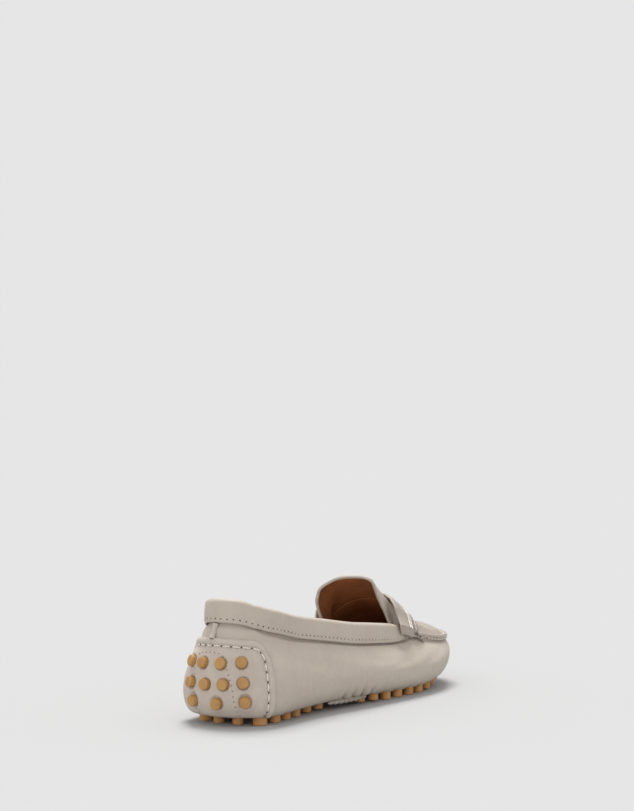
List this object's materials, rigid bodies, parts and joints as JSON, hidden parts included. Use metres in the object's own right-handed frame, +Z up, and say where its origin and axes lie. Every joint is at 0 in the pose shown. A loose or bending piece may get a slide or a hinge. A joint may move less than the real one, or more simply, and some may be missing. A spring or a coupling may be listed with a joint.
{
  "type": "driving moccasin",
  "caption": "Soft leather driving moccasin for the right foot: collar band, saddle strap, standing tongue, raised toe seam, and rubber studs under the foot and up the heel.",
  "frame": {"origin": "centre of the bounding box in plan, on the floor that the studs stand on", "axes": "+Y from the heel to the toe, +X to the outer side of the right foot, +Z up"},
  "size_m": [0.0854, 0.2534, 0.0729],
  "materials": {
    "leather": "matt taupe grained leather",
    "heel_leather": "matt pale taupe leather",
    "lining": "smooth brown lining leather",
    "rubber": "matt tan rubber"
  },
  "bodies": {
    "root": {"upper": "leather", "bottom_panel": "leather", "collar": "leather", "tongue": "leather", "strap": "leather", "heel_strip": "leather", "heel_patch": "heel_leather", "insole": "lining", "heel_tread": "rubber", "forefoot_tread": "rubber", "heel_back_studs": "rubber"}
  },
  "joints": []
}
